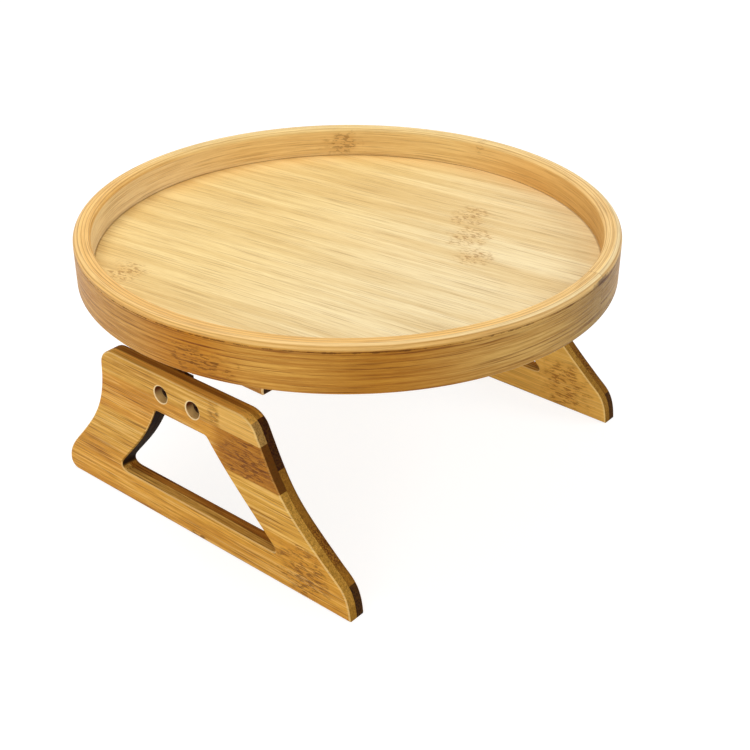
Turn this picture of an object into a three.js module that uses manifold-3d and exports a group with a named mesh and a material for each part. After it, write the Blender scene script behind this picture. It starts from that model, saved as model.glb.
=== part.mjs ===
// Round bamboo tray on two flat legs that fold under it on butt hinges.
// Millimetres, +Z up. The origin is on the ground under the middle of the tray.
// +X runs from the left leg to the right leg, and +Y runs back along the legs.
import * as THREE from 'three';
import { mergeVertices } from 'three/addons/utils/BufferGeometryUtils.js';
import Module from 'manifold-3d';

const wasm = await Module();
wasm.setup();

// Clearances
const SEAT_GAP = 0.3; // between pieces that are glued or screwed together
const RUNNING_GAP = 0.3; // between pieces that turn on each other

// Tray: a bent hoop with a floor panel let into it from below
const TRAY_DIAMETER = 250;
const TRAY_HEIGHT = 21.7;
const RIM_WALL = 8;
const RIM_OUTER_ROUND = 2.5;
const RIM_INNER_ROUND = 2;
const RIM_FOOT_ROUND = 1;
const FLOOR_THICKNESS = 6.7;
const FLOOR_REBATE = 4; // how far the floor reaches under the rim

// Legs: boards that stand across X, with their outline in the YZ plane
const LEG_HEIGHT = 78.3;
const LEG_THICKNESS = 9.2;
const LEG_CLEAR_WIDTH = 193.2; // between the two legs' inner faces
const LEG_EDGE_EASE = 1; // rounding along every edge of the board

// Leg outline, measured along Y from the middle of the hinge
const HINGE_OFFSET = 7.2; // the hinge sits this far behind the tray's middle
const TOE_REACH = 98.5; // front foot, which ends in a sharp corner
const TOE_SHOULDER = 20; // height at which the front side turns down to the toe
const TOE_SETBACK = 11; // how far that turn lies behind the toe
const HEEL_REACH = 82.6; // back foot, which is rounded
const HEEL_ROUND = 4.7;
const HEEL_SHOULDER = 19.6;
const HEEL_SETBACK = 7.6;
const TOP_FRONT_REACH = 44.9; // front end of the top edge, before rounding
const TOP_FRONT_ROUND = 10.5;
const TOP_BACK_REACH = 50;
const TOP_BACK_ROUND = 8.5;

// Lean of the leg's sides, in degrees from upright
const FRONT_LEAN_TOP = 23.9;
const FRONT_LEAN_FOOT = 49.3;
const TOE_LEAN = 4.4;
const BACK_LEAN_TOP = 1.8;
const BACK_LEAN_FOOT = 41.3;

// Cut-out in the leg
const TOP_BAR = 19.7; // wood left above the cut-out
const FOOT_BAR = 15; // wood left below it
const WINDOW_TOP_FRONT = 17.2;
const WINDOW_TOP_BACK = 14.8;
const WINDOW_FOOT_FRONT = 58.6;
const WINDOW_FOOT_BACK = 46.2;
const WINDOW_FRONT_LEAN_TOP = 37;
const WINDOW_FRONT_LEAN_FOOT = 45;
const WINDOW_BACK_LEAN_TOP = 25;
const WINDOW_BACK_LEAN_FOOT = 39.7;
const WINDOW_TOP_ROUND = 1.5;
const WINDOW_TOE_ROUND = 6;
const WINDOW_HEEL_ROUND = 8.5;

// Battens under the tray
const BATTEN_LENGTH = 83;
const BATTEN_WIDTH = 22;
const BATTEN_HEIGHT = 19.3;
const BATTEN_SETBACK = 2.3; // behind the leg's inner face, so that the leg can swing out
const BATTEN_EDGE_ROUND = 1.5;

// Hinges, with a barrel that stands behind the middle of the leg's screws
const BARREL_WIDTH = 18;
const BARREL_SHIFT = 8.5;
const MOVING_LEAF_REACH = 15; // ahead of the middle of the leg's screws
const KNUCKLE_COUNT = 5;
const KNUCKLE_DIAMETER = 4.2;
const LEAF_THICKNESS = 1.2;
const LEAF_REACH = 17.5; // from the pin to the leaf's free edge
const LEAF_CORNER_ROUND = 2;
const LEAF_TAB_DROP = 4; // how much lower the leaf starts where no knuckle stands over it
const PIN_DIAMETER = 2;
const PIN_HEAD_DIAMETER = 3.4;
const PIN_HEAD_HEIGHT = 0.8;

// Screws
const LEG_SCREW_SPACING = 20;
const LEG_SCREW_DROP = 9.6; // below the leg's top edge
const LEG_SCREW_SHANK = 4;
const LEG_SCREW_HEAD = 7.2;
const LEG_SCREW_HEAD_HEIGHT = 2.4;
const COUNTERBORE_DIAMETER = 8.2;
const COUNTERBORE_DEPTH = 5.4;
const LEAF_SCREW_SPACING = 9.6;
const LEAF_SCREW_SHANK = 3;
const LEAF_SCREW_HEAD = 5.4;
const LEAF_SCREW_BITE = 12; // length in the batten
const BATTEN_SCREW_SPACING = 60;
const BATTEN_SCREW_SHANK = 3.8;
const BATTEN_SCREW_HEAD = 7.6;
const BATTEN_SCREW_BITE = 4; // length in the tray floor

// Facets
const HOOP_STEPS = 90;
const ROUND_STEPS = 20;
const CURVE_STEPS = 10;
const FILLET_STEPS = 4;
const EASE_STEPS = 2;

// Levels, from the ground up
const legTop = LEG_HEIGHT;
const battenBottom = legTop + KNUCKLE_DIAMETER;
const trayBottom = battenBottom + BATTEN_HEIGHT;
const trayTop = trayBottom + TRAY_HEIGHT;
const floorTop = trayBottom + FLOOR_THICKNESS;

// Places, measured from the tray's middle
const legInner = LEG_CLEAR_WIDTH / 2;
const legOuter = legInner + LEG_THICKNESS;
const knuckleRadius = KNUCKLE_DIAMETER / 2;
const pinOut = legInner - SEAT_GAP - knuckleRadius;
const pinLevel = battenBottom - SEAT_GAP - knuckleRadius;
const battenOut = legInner - BATTEN_SETBACK;
const screwFromPin = pinLevel - legTop + LEG_SCREW_DROP;

const wood = {
  rim: { color: 0xc8924a, roughness: 0.5, metalness: 0 },
  floor: { color: 0xf0d69c, roughness: 0.45, metalness: 0 },
  leg: { color: 0xcd9649, roughness: 0.5, metalness: 0 },
  batten: { color: 0xb98240, roughness: 0.6, metalness: 0 },
};
const steel = {
  leaf: { color: 0x5c4533, roughness: 0.4, metalness: 1 },
  pin: { color: 0x54402f, roughness: 0.35, metalness: 1 },
  screw: { color: 0x4d382b, roughness: 0.4, metalness: 1 },
};

const radians = THREE.MathUtils.degToRad;
const along = {
  x: new THREE.Vector3(1, 0, 0),
  y: new THREE.Vector3(0, 1, 0),
  z: new THREE.Vector3(0, 0, 1),
};

// A closed solid of a geometry, for joining and cutting
function solid(geometry) {
  const bare = geometry.clone();
  bare.deleteAttribute('normal');
  bare.deleteAttribute('uv');
  const merged = mergeVertices(bare);
  const corners = merged.index.array;
  const kept = [];
  for (let i = 0; i < corners.length; i += 3) {
    const [a, b, c] = [corners[i], corners[i + 1], corners[i + 2]];
    if (a !== b && b !== c && c !== a) kept.push(a, b, c);
  }
  return new wasm.Manifold(new wasm.Mesh({
    numProp: 3,
    vertProperties: new Float32Array(merged.attributes.position.array),
    triVerts: new Uint32Array(kept),
  }));
}

function geometryOf(body) {
  const { vertProperties, triVerts } = body.getMesh();
  const geometry = new THREE.BufferGeometry();
  geometry.setAttribute('position', new THREE.BufferAttribute(vertProperties, 3));
  geometry.setIndex(new THREE.BufferAttribute(triVerts, 1));
  geometry.computeVertexNormals();
  return geometry;
}

function joined(geometries) {
  return geometries.map(solid).reduce((whole, next) => whole.add(next));
}

function cut(body, tools) {
  return tools.map(solid).reduce((left, tool) => left.subtract(tool), body);
}

// A round body about Z: pairs of [radius, height], from its lower end to its upper end
function turned(profile, steps = ROUND_STEPS) {
  const points = profile.map(([radius, height]) => new THREE.Vector2(radius, height));
  return new THREE.LatheGeometry(points, steps).rotateX(Math.PI / 2);
}

// Carries a geometry made about Z to a place, with its Z turned to a direction
function placed(geometry, direction, x, y, z) {
  const turn = new THREE.Quaternion().setFromUnitVectors(along.z, direction);
  return geometry.applyQuaternion(turn).translate(x, y, z);
}

function piece(name, geometry, finish) {
  const mesh = new THREE.Mesh(geometry, new THREE.MeshStandardMaterial(finish));
  mesh.name = name;
  return mesh;
}

// Points of a round corner about a centre, from one angle to another in degrees
function fillet(x, y, radius, from, to) {
  const curve = new THREE.EllipseCurve(x, y, radius, radius, radians(from), radians(to), to < from);
  return curve.getPoints(FILLET_STEPS).map((point) => [point.x, point.y]);
}

// Draws a curve that leaves along one direction and arrives along another
function flow(path, endX, endY, leave, arrive, leavePull, arrivePull) {
  const start = path.currentPoint;
  const span = Math.hypot(endX - start.x, endY - start.y);
  path.bezierCurveTo(
    start.x + leave[0] * leavePull * span,
    start.y + leave[1] * leavePull * span,
    endX - arrive[0] * arrivePull * span,
    endY - arrive[1] * arrivePull * span,
    endX,
    endY,
  );
}

// Direction of a leaning side: across is -1 towards the front, +1 towards the back
function lean(degrees, across, up) {
  return [across * Math.sin(radians(degrees)), up * Math.cos(radians(degrees))];
}

// The hoop is turned: rounded over the top, with a rebate for the floor below
function rimGeometry() {
  const outer = TRAY_DIAMETER / 2;
  const inner = outer - RIM_WALL;
  const rebate = inner + FLOOR_REBATE;
  const ledge = floorTop + SEAT_GAP;
  return turned([
    [rebate, ledge],
    [rebate, trayBottom],
    ...fillet(outer - RIM_FOOT_ROUND, trayBottom + RIM_FOOT_ROUND, RIM_FOOT_ROUND, -90, 0),
    ...fillet(outer - RIM_OUTER_ROUND, trayTop - RIM_OUTER_ROUND, RIM_OUTER_ROUND, 0, 90),
    ...fillet(inner + RIM_INNER_ROUND, trayTop - RIM_INNER_ROUND, RIM_INNER_ROUND, 90, 180),
    [inner, ledge],
    [rebate, ledge],
  ], HOOP_STEPS);
}

// The floor is a flat disc with pilot holes for the battens' screws
function floorGeometry() {
  const radius = TRAY_DIAMETER / 2 - RIM_WALL + FLOOR_REBATE - SEAT_GAP;
  const disc = turned([
    [0, trayBottom],
    [radius, trayBottom],
    [radius, floorTop],
    [0, floorTop],
  ], HOOP_STEPS);
  const pilotRadius = BATTEN_SCREW_SHANK / 2 + SEAT_GAP;
  const pilotTop = trayBottom + BATTEN_SCREW_BITE + SEAT_GAP;
  const holes = [];
  for (const sign of [-1, 1]) {
    for (const end of [-1, 1]) {
      const hole = turned([
        [0, trayBottom - SEAT_GAP],
        [pilotRadius, trayBottom - SEAT_GAP],
        [pilotRadius, pilotTop],
        [0, pilotTop],
      ]);
      holes.push(hole.translate(sign * battenMiddle(), battenScrewY(end), 0));
    }
  }
  return geometryOf(cut(solid(disc), holes));
}

function battenMiddle() {
  return battenOut - BATTEN_WIDTH / 2;
}

function battenScrewY(end) {
  return HINGE_OFFSET + end * BATTEN_SCREW_SPACING / 2;
}

function legScrewY(end) {
  return HINGE_OFFSET + end * LEG_SCREW_SPACING / 2;
}

function leafScrewY(end) {
  return HINGE_OFFSET + BARREL_SHIFT + end * LEAF_SCREW_SPACING / 2;
}

// The batten's section is drawn in XZ with its lower edges rounded, and run along Y
function battenGeometry(sign) {
  const half = BATTEN_WIDTH / 2;
  const low = battenBottom;
  const high = trayBottom - SEAT_GAP;
  const round = BATTEN_EDGE_ROUND;
  const section = new THREE.Shape([
    ...fillet(-half + round, low + round, round, 180, 270),
    ...fillet(half - round, low + round, round, 270, 360),
    [half, high],
    [-half, high],
  ].map(([x, z]) => new THREE.Vector2(x, z)));
  const bar = new THREE.ExtrudeGeometry(section, { depth: BATTEN_LENGTH, bevelEnabled: false });
  bar.rotateX(Math.PI / 2).translate(sign * battenMiddle(), HINGE_OFFSET + BATTEN_LENGTH / 2, 0);

  const tools = [];
  for (const end of [-1, 1]) {
    const shank = BATTEN_SCREW_SHANK / 2 + SEAT_GAP;
    const head = BATTEN_SCREW_HEAD / 2 + SEAT_GAP;
    const through = turned([
      [0, low - SEAT_GAP],
      [head + SEAT_GAP, low - SEAT_GAP],
      [shank, low + head - shank],
      [shank, high + SEAT_GAP],
      [0, high + SEAT_GAP],
    ]);
    tools.push(through.translate(sign * battenMiddle(), battenScrewY(end), 0));

    const pilot = LEAF_SCREW_SHANK / 2 + SEAT_GAP;
    const blind = turned([
      [0, low - SEAT_GAP],
      [pilot, low - SEAT_GAP],
      [pilot, low + LEAF_SCREW_BITE + SEAT_GAP],
      [0, low + LEAF_SCREW_BITE + SEAT_GAP],
    ]);
    tools.push(blind.translate(sign * (pinOut - screwFromPin), leafScrewY(end), 0));
  }
  return geometryOf(cut(solid(bar), tools));
}

// Outline of the leg board: from the toe along the ground, up the back, down the front
function legOutline() {
  const shape = new THREE.Shape();
  shape.moveTo(-TOE_REACH, 0);
  shape.lineTo(HEEL_REACH - HEEL_ROUND, 0);
  shape.absarc(HEEL_REACH - HEEL_ROUND, HEEL_ROUND, HEEL_ROUND, radians(-90), 0);

  const upBackFoot = lean(BACK_LEAN_FOOT, -1, 1);
  flow(shape, HEEL_REACH - HEEL_SETBACK, HEEL_SHOULDER, [0, 1], upBackFoot, 0.34, 0.36);
  const backTop = LEG_HEIGHT - TOP_BACK_ROUND;
  flow(shape, TOP_BACK_REACH, backTop, upBackFoot, lean(BACK_LEAN_TOP, -1, 1), 0.42, 0.39);
  shape.absarc(TOP_BACK_REACH - TOP_BACK_ROUND, backTop, TOP_BACK_ROUND, 0, radians(90));

  const frontTurn = 90 - FRONT_LEAN_TOP;
  const frontStart = TOP_FRONT_REACH - TOP_FRONT_ROUND * Math.tan(radians(frontTurn / 2));
  const frontCentre = LEG_HEIGHT - TOP_FRONT_ROUND;
  shape.absarc(-frontStart, frontCentre, TOP_FRONT_ROUND, radians(90), radians(90 + frontTurn));

  const downFoot = lean(FRONT_LEAN_FOOT, -1, -1);
  const shoulder = -TOE_REACH + TOE_SETBACK;
  flow(shape, shoulder, TOE_SHOULDER, lean(FRONT_LEAN_TOP, -1, -1), downFoot, 0.48, 0.5);
  flow(shape, -TOE_REACH, 0, downFoot, lean(TOE_LEAN, -1, -1), 0.27, 0.62);

  shape.holes.push(windowOutline());
  return shape;
}

// Cut-out of the leg: a slanted opening with one bowed and one nearly straight side
function windowOutline() {
  const top = LEG_HEIGHT - TOP_BAR;
  const low = FOOT_BAR;
  const frontTop = lean(WINDOW_FRONT_LEAN_TOP, -1, -1);
  const frontFoot = lean(WINDOW_FRONT_LEAN_FOOT, -1, -1);
  const backTop = lean(WINDOW_BACK_LEAN_TOP, 1, -1);
  const backFoot = lean(WINDOW_BACK_LEAN_FOOT, 1, -1);
  const before = (x, y, direction, length) => [x - direction[0] * length, y - direction[1] * length];
  const after = (x, y, direction, length) => [x + direction[0] * length, y + direction[1] * length];

  const path = new THREE.Path();
  path.moveTo(-WINDOW_TOP_FRONT + WINDOW_TOP_ROUND, top);
  path.quadraticCurveTo(
    -WINDOW_TOP_FRONT,
    top,
    ...after(-WINDOW_TOP_FRONT, top, frontTop, WINDOW_TOP_ROUND),
  );
  const toe = before(-WINDOW_FOOT_FRONT, low, frontFoot, WINDOW_TOE_ROUND);
  flow(path, toe[0], toe[1], frontTop, frontFoot, 0.33, 0.33);
  path.quadraticCurveTo(-WINDOW_FOOT_FRONT, low, -WINDOW_FOOT_FRONT + WINDOW_TOE_ROUND, low);

  path.lineTo(WINDOW_FOOT_BACK - WINDOW_HEEL_ROUND, low);
  const heel = before(WINDOW_FOOT_BACK, low, backFoot, WINDOW_HEEL_ROUND);
  path.quadraticCurveTo(WINDOW_FOOT_BACK, low, heel[0], heel[1]);
  const up = ([across, height]) => [-across, -height];
  const corner = after(WINDOW_TOP_BACK, top, backTop, WINDOW_TOP_ROUND);
  flow(path, corner[0], corner[1], up(backFoot), up(backTop), 0.3, 0.42);
  path.quadraticCurveTo(WINDOW_TOP_BACK, top, WINDOW_TOP_BACK - WINDOW_TOP_ROUND, top);
  path.closePath();
  return path;
}

// The leg board stands across X, with two counterbored holes from its outer face
function legGeometry(sign) {
  const board = new THREE.ExtrudeGeometry(legOutline(), {
    depth: LEG_THICKNESS - 2 * LEG_EDGE_EASE,
    bevelThickness: LEG_EDGE_EASE,
    bevelSize: LEG_EDGE_EASE,
    bevelOffset: -LEG_EDGE_EASE,
    bevelSegments: EASE_STEPS,
    curveSegments: CURVE_STEPS,
  });
  const across = new THREE.Matrix4().makeBasis(along.y, along.z, along.x);
  const middle = sign * (legInner + legOuter) / 2;
  board.translate(0, 0, -(LEG_THICKNESS / 2 - LEG_EDGE_EASE));
  board.applyMatrix4(across).translate(middle, HINGE_OFFSET, 0);

  // Each hole is turned about its own axis, which points inwards from the outer face
  const inwards = along.x.clone().multiplyScalar(-sign);
  const bore = LEG_SCREW_SHANK / 2 + SEAT_GAP;
  const holes = [-1, 1].map((end) => placed(turned([
    [0, -SEAT_GAP],
    [COUNTERBORE_DIAMETER / 2, -SEAT_GAP],
    [COUNTERBORE_DIAMETER / 2, COUNTERBORE_DEPTH],
    [bore, COUNTERBORE_DEPTH],
    [bore, LEG_THICKNESS + SEAT_GAP],
    [0, LEG_THICKNESS + SEAT_GAP],
  ]), inwards, sign * legOuter, legScrewY(end), legTop - LEG_SCREW_DROP));
  return geometryOf(cut(solid(board), holes));
}

// A hinge leaf about its pin, which lies on local Z. The plate runs along local X, and
// its outer side, at local Y of one knuckle radius, lies against the wood.
// Its knuckles are every second one, starting with the first given. Its front edge and
// its screws are given along Y, which is local Z or, where back is -1, the other way.
function leafGeometry({ firstKnuckle, front, screws, screwTool, back }) {
  const pitch = BARREL_WIDTH / KNUCKLE_COUNT;
  const plateStart = knuckleRadius + RUNNING_GAP;
  const inside = knuckleRadius - LEAF_THICKNESS;
  const round = LEAF_CORNER_ROUND;
  const rear = BARREL_SHIFT + BARREL_WIDTH / 2;
  const barrelFront = BARREL_SHIFT - BARREL_WIDTH / 2;
  const tabStart = plateStart + LEAF_TAB_DROP;
  const step = [[plateStart, barrelFront], [tabStart, barrelFront], [tabStart, front]];

  const plan = new THREE.Shape([
    ...fillet(LEAF_REACH - round, front + round, round, -90, 0),
    ...fillet(LEAF_REACH - round, rear - round, round, 0, 90),
    [plateStart, rear],
    ...(front < barrelFront ? step : [[plateStart, front]]),
  ].map(([x, y]) => new THREE.Vector2(x, back * y)));
  const plate = new THREE.ExtrudeGeometry(plan, { depth: LEAF_THICKNESS, bevelEnabled: false });
  plate.rotateX(Math.PI / 2).translate(0, knuckleRadius, 0);

  const parts = [plate];
  for (let i = firstKnuckle; i < KNUCKLE_COUNT; i += 2) {
    const length = pitch - RUNNING_GAP;
    const middle = back * BARREL_SHIFT + (i + 0.5) * pitch - BARREL_WIDTH / 2;
    const barrel = new THREE.CylinderGeometry(knuckleRadius, knuckleRadius, length, ROUND_STEPS);
    parts.push(barrel.rotateX(Math.PI / 2).translate(0, 0, middle));
    const tail = new THREE.BoxGeometry(plateStart + LEAF_THICKNESS, LEAF_THICKNESS, length);
    parts.push(tail.translate((plateStart + LEAF_THICKNESS) / 2, (inside + knuckleRadius) / 2, middle));
  }

  const boreRadius = PIN_DIAMETER / 2 + RUNNING_GAP;
  const bore = new THREE.CylinderGeometry(boreRadius, boreRadius, 2 * BARREL_WIDTH, ROUND_STEPS);
  const tools = [bore.rotateX(Math.PI / 2).translate(0, 0, back * BARREL_SHIFT)];
  for (const screw of screws) {
    const hole = screwTool(inside).rotateX(-Math.PI / 2);
    tools.push(hole.translate(screwFromPin, 0, back * screw));
  }
  return geometryOf(cut(joined(parts), tools));
}

// Stands a leaf on its pin: the plate runs one way, with its outer side facing another
function leafOnPin(geometry, sign, plateWay, facing) {
  const turn = new THREE.Matrix4().makeBasis(plateWay, facing, plateWay.clone().cross(facing));
  return geometry.applyMatrix4(turn).translate(sign * pinOut, HINGE_OFFSET, pinLevel);
}

// Countersunk hole through the fixed leaf, wide at the leaf's inner side
function countersinkTool(inside) {
  const head = LEAF_SCREW_HEAD / 2 + SEAT_GAP;
  const shank = LEAF_SCREW_SHANK / 2 + SEAT_GAP;
  return turned([
    [0, inside - SEAT_GAP],
    [head + SEAT_GAP, inside - SEAT_GAP],
    [shank, inside + head - shank],
    [shank, knuckleRadius + SEAT_GAP],
    [0, knuckleRadius + SEAT_GAP],
  ]);
}

// Plain hole through the moving leaf for the leg's screws
function clearHoleTool(inside) {
  const shank = LEG_SCREW_SHANK / 2 + SEAT_GAP;
  return turned([
    [0, inside - SEAT_GAP],
    [shank, inside - SEAT_GAP],
    [shank, knuckleRadius + SEAT_GAP],
    [0, knuckleRadius + SEAT_GAP],
  ]);
}

// Pin with a riveted head at each end, along Y
function pinGeometry(sign) {
  const half = BARREL_WIDTH / 2 + RUNNING_GAP;
  const shank = PIN_DIAMETER / 2;
  const head = PIN_HEAD_DIAMETER / 2;
  const crown = head * 0.6;
  const profile = turned([
    [0, -half - PIN_HEAD_HEIGHT],
    [crown, -half - PIN_HEAD_HEIGHT],
    [head, -half - PIN_HEAD_HEIGHT / 2],
    [head, -half],
    [shank, -half],
    [shank, half],
    [head, half],
    [head, half + PIN_HEAD_HEIGHT / 2],
    [crown, half + PIN_HEAD_HEIGHT],
    [0, half + PIN_HEAD_HEIGHT],
  ]);
  return placed(profile, along.y, sign * pinOut, HINGE_OFFSET + BARREL_SHIFT, pinLevel);
}

// Pan-head screw: its head fills the counterbore, and it ends flush with the moving leaf
function legScrewGeometry(sign, end) {
  const seat = COUNTERBORE_DEPTH - SEAT_GAP;
  const tip = LEG_THICKNESS + SEAT_GAP + LEAF_THICKNESS;
  const shank = LEG_SCREW_SHANK / 2;
  const head = LEG_SCREW_HEAD / 2;
  const dome = head * 0.62;
  const profile = turned([
    [0, seat - LEG_SCREW_HEAD_HEIGHT],
    [dome, seat - LEG_SCREW_HEAD_HEIGHT],
    [head, seat - LEG_SCREW_HEAD_HEIGHT / 2],
    [head, seat],
    [shank, seat],
    [shank, tip],
    [0, tip],
  ]);
  const inwards = along.x.clone().multiplyScalar(-sign);
  return placed(profile, inwards, sign * legOuter, legScrewY(end), legTop - LEG_SCREW_DROP);
}

// Countersunk screw that points up from the level of its head's flat face
function countersunkGeometry(headDiameter, shankDiameter, length, x, y, level) {
  const head = headDiameter / 2;
  const shank = shankDiameter / 2;
  const profile = turned([
    [0, 0],
    [head, 0],
    [shank, head - shank],
    [shank, length - shank],
    [0, length],
  ]);
  return profile.translate(x, y, level);
}

const tray = new THREE.Group();
tray.add(piece('tray_rim', rimGeometry(), wood.rim));
tray.add(piece('tray_floor', floorGeometry(), wood.floor));

const sides = [
  { side: 'left', sign: -1 },
  { side: 'right', sign: 1 },
];
const ends = [
  { place: 'front', end: -1 },
  { place: 'back', end: 1 },
];

for (const { side, sign } of sides) {
  const outwards = along.x.clone().multiplyScalar(sign);
  const inwards = outwards.clone().negate();
  const down = along.z.clone().negate();

  const fixed = leafOnPin(leafGeometry({
    firstKnuckle: 0,
    front: BARREL_SHIFT - BARREL_WIDTH / 2,
    screws: ends.map(({ end }) => BARREL_SHIFT + end * LEAF_SCREW_SPACING / 2),
    screwTool: countersinkTool,
    back: sign,
  }), sign, inwards, along.z);
  const moving = leafOnPin(leafGeometry({
    firstKnuckle: 1,
    front: -MOVING_LEAF_REACH,
    screws: ends.map(({ end }) => end * LEG_SCREW_SPACING / 2),
    screwTool: clearHoleTool,
    back: -sign,
  }), sign, down, outwards);
  tray.add(piece(`${side}_batten`, battenGeometry(sign), wood.batten));
  tray.add(piece(`${side}_hinge_fixed_leaf`, fixed, steel.leaf));
  tray.add(piece(`${side}_hinge_pin`, pinGeometry(sign), steel.pin));
  tray.add(piece(`${side}_hinge_moving_leaf`, moving, steel.leaf));
  tray.add(piece(`${side}_leg`, legGeometry(sign), wood.leg));

  for (const { place, end } of ends) {
    tray.add(piece(`${side}_leg_screw_${place}`, legScrewGeometry(sign, end), steel.screw));

    const leafUnderside = pinLevel + knuckleRadius - LEAF_THICKNESS;
    const leafScrew = countersunkGeometry(
      LEAF_SCREW_HEAD,
      LEAF_SCREW_SHANK,
      LEAF_THICKNESS + SEAT_GAP + LEAF_SCREW_BITE,
      sign * (pinOut - screwFromPin),
      leafScrewY(end),
      leafUnderside,
    );
    tray.add(piece(`${side}_leaf_screw_${place}`, leafScrew, steel.screw));

    const battenScrew = countersunkGeometry(
      BATTEN_SCREW_HEAD,
      BATTEN_SCREW_SHANK,
      BATTEN_HEIGHT + BATTEN_SCREW_BITE,
      sign * battenMiddle(),
      battenScrewY(end),
      battenBottom,
    );
    tray.add(piece(`${side}_batten_screw_${place}`, battenScrew, steel.screw));
  }
}

export default tray;
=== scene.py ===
import math

import bmesh
import bpy
from mathutils import Matrix, Vector


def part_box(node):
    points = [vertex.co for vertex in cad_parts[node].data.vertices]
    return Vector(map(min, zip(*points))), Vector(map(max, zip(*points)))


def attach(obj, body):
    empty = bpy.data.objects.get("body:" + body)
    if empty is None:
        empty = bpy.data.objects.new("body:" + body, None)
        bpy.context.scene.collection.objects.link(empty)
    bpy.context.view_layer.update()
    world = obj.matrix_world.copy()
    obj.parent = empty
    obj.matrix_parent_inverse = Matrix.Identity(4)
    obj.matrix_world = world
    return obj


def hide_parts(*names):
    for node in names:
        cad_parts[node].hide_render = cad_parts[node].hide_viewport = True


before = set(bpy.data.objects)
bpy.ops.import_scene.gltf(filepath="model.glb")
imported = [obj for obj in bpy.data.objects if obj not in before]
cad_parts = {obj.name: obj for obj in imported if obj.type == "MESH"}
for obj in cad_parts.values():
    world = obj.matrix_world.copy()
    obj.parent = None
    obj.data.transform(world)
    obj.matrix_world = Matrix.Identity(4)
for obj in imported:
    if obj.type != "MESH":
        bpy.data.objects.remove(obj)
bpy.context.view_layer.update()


# Rim: a hoop of bamboo strip, wound in plies round a former and glued.
# It is turned to a rounded top, has a glue seam below its outer edge and a rebate
# under it for the floor, and is finished in satin lacquer.
RIM_OUTER = 0.12490
RIM_INNER = 0.117
RIM_REBATE = 0.121
RIM_TOP = 0.1235
RIM_FOOT = 0.1018
RIM_LEDGE = 0.1086
RIM_SEAM = 0.1204
RIM_STEPS = 240
RIM_HALF_ROUND = math.pi * RIM_OUTER
SEAM_HALF_WIDTH = 0.00022
SEAM_DEPTH = 0.00025
FOOT_ROUND = 0.001
OUTER_ROUND = 0.0025
INNER_ROUND = 0.002
PLY = 0.0016
LAP_ANGLE = -80.0
WALL_MIDDLE = 0.121
MERGE = 1e-6
LACQUER_SHINE = 0.12

# Level directions to the right and to the back, as the tray is seen in the photograph
TO_RIGHT = (0.64, -0.77, 0.0)
TO_BACK = (0.77, 0.64, 0.0)


def colour(code):
    """A linear colour with alpha from a written hex colour."""
    parts = [int(code[i:i + 2], 16) / 255 for i in (1, 3, 5)]
    return [c / 12.92 if c <= 0.04045 else ((c + 0.055) / 1.055) ** 2.4 for c in parts] + [1.0]


def put(tree, kind, inputs=(), **settings):
    """Adds a node, sets it up, and fills its inputs with values or links."""
    made = tree.nodes.new("ShaderNode" + kind)
    for name, value in settings.items():
        setattr(made, name, value)
    for place, value in dict(inputs).items():
        if isinstance(value, bpy.types.NodeSocket):
            tree.links.new(value, made.inputs[place])
        else:
            made.inputs[place].default_value = value
    return made


def sums(tree, operation, *values):
    """Arithmetic on values or links."""
    return put(tree, "Math", enumerate(values), operation=operation).outputs[0]


def times(tree, first, *others):
    """The product of values or links."""
    for other in others:
        first = sums(tree, "MULTIPLY", first, other)
    return first


def vector_sums(tree, operation, *vectors):
    """Vector arithmetic. A length and a dot product give a number."""
    made = put(tree, "VectorMath", enumerate(vectors), operation=operation)
    return made.outputs["Value" if operation in ("LENGTH", "DOT_PRODUCT") else "Vector"]


def split(tree, vector):
    """The three numbers of a vector."""
    return put(tree, "SeparateXYZ", {0: vector}).outputs


def joined(tree, x, y, z):
    """A vector from three numbers."""
    return put(tree, "CombineXYZ", {0: x, 1: y, 2: z}).outputs[0]


def turned(tree, vector, angle):
    """A vector turned about Z."""
    return put(tree, "Mapping", {"Vector": vector, "Rotation": (0, 0, angle)}).outputs[0]


def spread(tree, value, low, high, to_low=0.0, to_high=1.0):
    """Maps a value smoothly from one range to another."""
    inputs = {0: value, 1: low, 2: high, 3: to_low, 4: to_high}
    return put(tree, "MapRange", inputs, interpolation_type="SMOOTHSTEP").outputs[0]


def spread_evenly(tree, value, low, high):
    """Maps a range evenly to 0 to 1."""
    return put(tree, "MapRange", {0: value, 1: low, 2: high}).outputs[0]


def between(tree, value, low, high, soft=0.0003):
    """1 where a value lies in a range, 0 outside it."""
    rising = spread(tree, value, low - soft, low + soft)
    return times(tree, rising, spread(tree, value, high + soft, high - soft))


def mixed(tree, share, under, over, way="MIX"):
    """Mixes one colour over another by a share."""
    inputs = {0: share, 6: under, 7: over}
    return put(tree, "Mix", inputs, data_type="RGBA", blend_type=way).outputs[2]


def tinted(tree, base, tone, *shares):
    """Mixes a tone into a colour by the product of the shares."""
    return mixed(tree, times(tree, *shares), base, colour(tone))


def ramp(tree, value, stops, interpolation="LINEAR"):
    """Colours along a value, from pairs of place and tone."""
    made = put(tree, "ValToRGB", {0: value})
    made.color_ramp.interpolation = interpolation
    elements = made.color_ramp.elements
    for i, (place, tone) in enumerate(stops):
        element = elements[i] if i < 2 else elements.new(place)
        element.position = place
        element.color = colour(tone)
    return made.outputs[0]


def noise(tree, vector, scale, detail, roughness=0.5):
    """Smooth noise from 0 to 1."""
    inputs = {"Vector": vector, "Scale": scale, "Detail": detail, "Roughness": roughness}
    return put(tree, "TexNoise", inputs).outputs[0]


def stretched_noise(tree, grain, width, length, detail=2.0, roughness=0.5):
    """Noise drawn out along the grain: X and Z are across it, Y is along it."""
    scaled = vector_sums(tree, "MULTIPLY", grain, (1 / width, 1 / length, 1 / width))
    return noise(tree, scaled, 1.0, detail, roughness)


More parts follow.
